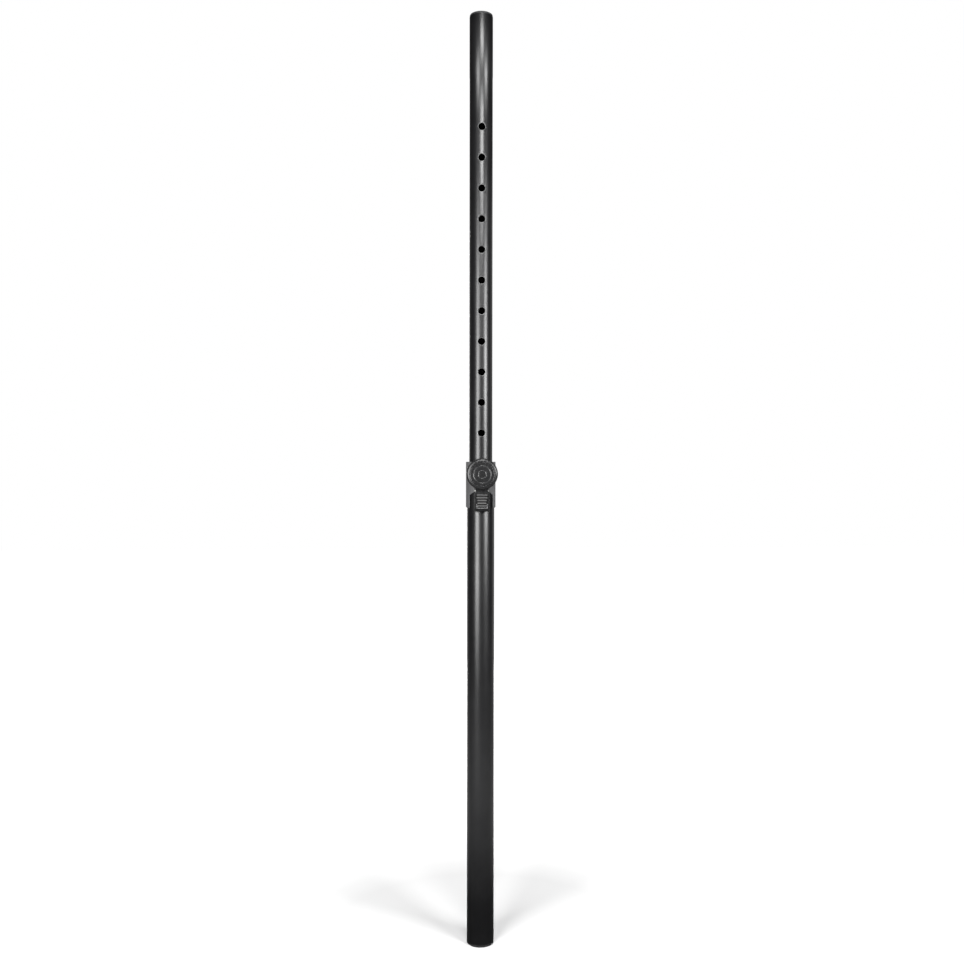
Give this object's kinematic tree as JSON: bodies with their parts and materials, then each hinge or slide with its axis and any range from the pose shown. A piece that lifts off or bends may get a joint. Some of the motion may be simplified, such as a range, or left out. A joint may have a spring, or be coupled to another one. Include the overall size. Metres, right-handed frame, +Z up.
{
  "type": "height-adjustable speaker pole",
  "caption": "Telescopic pole that carries a loudspeaker: a perforated upper tube slides in a wider lower tube, held by a sprung lock pin with a rocking lever.",
  "frame": {"origin": "centre of the pole's lower end, at the mouth of the base socket", "axes": "+Z up along the pole towards the speaker spigot, -Y out of the front, where the lock lever and the adjusting holes face"},
  "size_m": [0.0468, 0.0615, 1.4015],
  "materials": {
    "tube_coat": "satin black powder coat",
    "collar_nylon": "matte moulded nylon, charcoal",
    "lever_nylon": "fine textured moulded nylon, black",
    "cap_plastic": "satin moulded plastic, black",
    "grip_rubber": "matte soft-touch rubber, charcoal",
    "plug_plastic": "satin moulded plastic, black",
    "guide_nylon": "self-lubricating nylon, black",
    "rivet_black": "black coated steel",
    "plated_steel": "bright zinc-plated steel"
  },
  "bodies": {
    "lower_pole": {"lower_tube": "tube_coat", "socket_liner": "guide_nylon", "collar": "collar_nylon", "guide_bush": "guide_nylon", "stem_bush": "plated_steel", "hinge_pin": "plated_steel", "hinge_clips": "plated_steel", "collar_rivets": "rivet_black", "lock_spring": "plated_steel"},
    "upper_pole": {"upper_tube": "tube_coat", "top_end_plug": "plug_plastic", "tube_glide": "guide_nylon", "glide_rivets": "plated_steel"},
    "lever": {"lock_lever": "lever_nylon", "head_cap": "cap_plastic", "grip_pad": "grip_rubber", "cap_screws": "plated_steel"},
    "plunger": {"lock_pin": "plated_steel", "cross_pin": "plated_steel"}
  },
  "joints": [
    {"name": "height_slide", "type": "slide", "parent": "lower_pole", "child": "upper_pole", "axis": [0, 0, 1], "range_m": [-0.5163, 0]},
    {"name": "lever_rock", "type": "hinge", "parent": "lower_pole", "child": "lever", "pos_m": [0, -0.0252, 0.688], "axis": [1, 0, 0], "range_deg": [-7, 4], "stiffness_Nm_per_rad": 0.6, "springref_deg": -25.78},
    {"name": "lock_pin_slide", "type": "slide", "parent": "lower_pole", "child": "plunger", "axis": [0, -1, 0], "range_m": [-0.0032, 0.0018], "deforming": ["lock_spring"]}
  ],
  "couplings": [
    {"joint": "lock_pin_slide", "follows": "lever_rock", "m_per_rad": 0.025}
  ]
}
